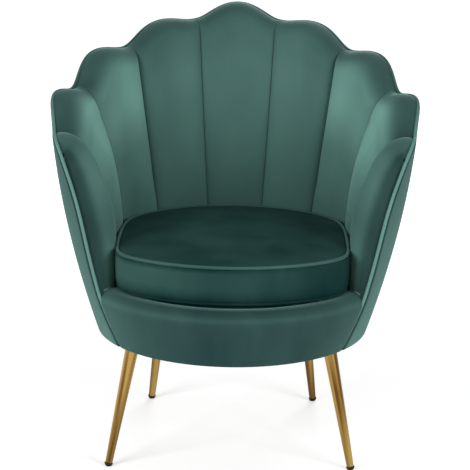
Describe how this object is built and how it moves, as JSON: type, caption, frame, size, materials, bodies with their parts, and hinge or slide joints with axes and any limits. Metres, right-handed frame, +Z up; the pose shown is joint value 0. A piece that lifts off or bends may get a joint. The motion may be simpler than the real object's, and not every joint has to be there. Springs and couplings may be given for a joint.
{
  "type": "scallop back tub chair",
  "caption": "Upholstered tub chair with a scalloped, channelled shell back, a loose round seat cushion and tapered splayed metal legs.",
  "frame": {"origin": "on the floor, under the middle of the chair's bounding box", "axes": "+Z up, the seat opens towards -Y, +X is the sitter's left"},
  "size_m": [0.7242, 0.6817, 0.8401],
  "materials": {
    "velvet": "short pile blue-green velvet with a soft sheen",
    "gold_metal": "satin gold plated steel tube",
    "black_plastic": "moulded",
    "plywood": "raw bent plywood",
    "pine": "raw sawn",
    "foam": "open cell polyurethane foam",
    "webbing": "woven elastic webbing",
    "cambric": "thin non-woven cloth",
    "zinc_steel": "zinc plated"
  },
  "bodies": {
    "frame": {"arm_front_post_left": "plywood", "arm_front_post_right": "plywood", "back_channel_centre": "velvet", "back_channel_left_1": "velvet", "back_channel_left_2": "velvet", "back_channel_left_3": "velvet", "back_channel_left_4": "velvet", "back_channel_right_1": "velvet", "back_channel_right_2": "velvet", "back_channel_right_3": "velvet", "back_channel_right_4": "velvet", "back_upright_left_1": "plywood", "back_upright_left_2": "plywood", "back_upright_left_3": "plywood", "back_upright_left_4": "plywood", "back_upright_right_1": "plywood", "back_upright_right_2": "plywood", "back_upright_right_3": "plywood", "back_upright_right_4": "plywood", "base_ring": "plywood", "dust_cover": "cambric", "edge_welt": "velvet", "frame_blocks": "pine", "front_rail_board": "plywood", "front_rail_cover": "velvet", "front_rail_deck_cloth": "velvet", "front_rail_foam": "foam", "front_rail_roll": "foam", "leg_front_left": "gold_metal", "leg_front_right": "gold_metal", "leg_glide_front_left": "black_plastic", "leg_glide_front_right": "black_plastic", "leg_glide_rear_left": "black_plastic", "leg_glide_rear_right": "black_plastic", "leg_plate_front_left": "zinc_steel", "leg_plate_front_right": "zinc_steel", "leg_plate_rear_left": "zinc_steel", "leg_plate_rear_right": "zinc_steel", "leg_plate_screws": "zinc_steel", "leg_rear_left": "gold_metal", "leg_rear_right": "gold_metal", "outer_back_cover": "velvet", "seat_deck_pad": "cambric", "seat_ring": "plywood", "seat_straps_cross": "webbing", "seat_straps_long": "webbing", "top_rail_centre": "plywood", "top_rail_left_1": "plywood", "top_rail_left_2": "plywood", "top_rail_left_3": "plywood", "top_rail_left_4": "plywood", "top_rail_right_1": "plywood", "top_rail_right_2": "plywood", "top_rail_right_3": "plywood", "top_rail_right_4": "plywood"},
    "seat_cushion": {"seat_cushion_cover": "velvet", "seat_cushion_foam": "foam", "seat_cushion_top_welt": "velvet", "seat_cushion_bottom_welt": "velvet"}
  },
  "joints": [
    {"name": "seat_cushion_lift", "type": "slide", "parent": "frame", "child": "seat_cushion", "axis": [0, 0, 1], "range_m": [0, 0.15]}
  ]
}
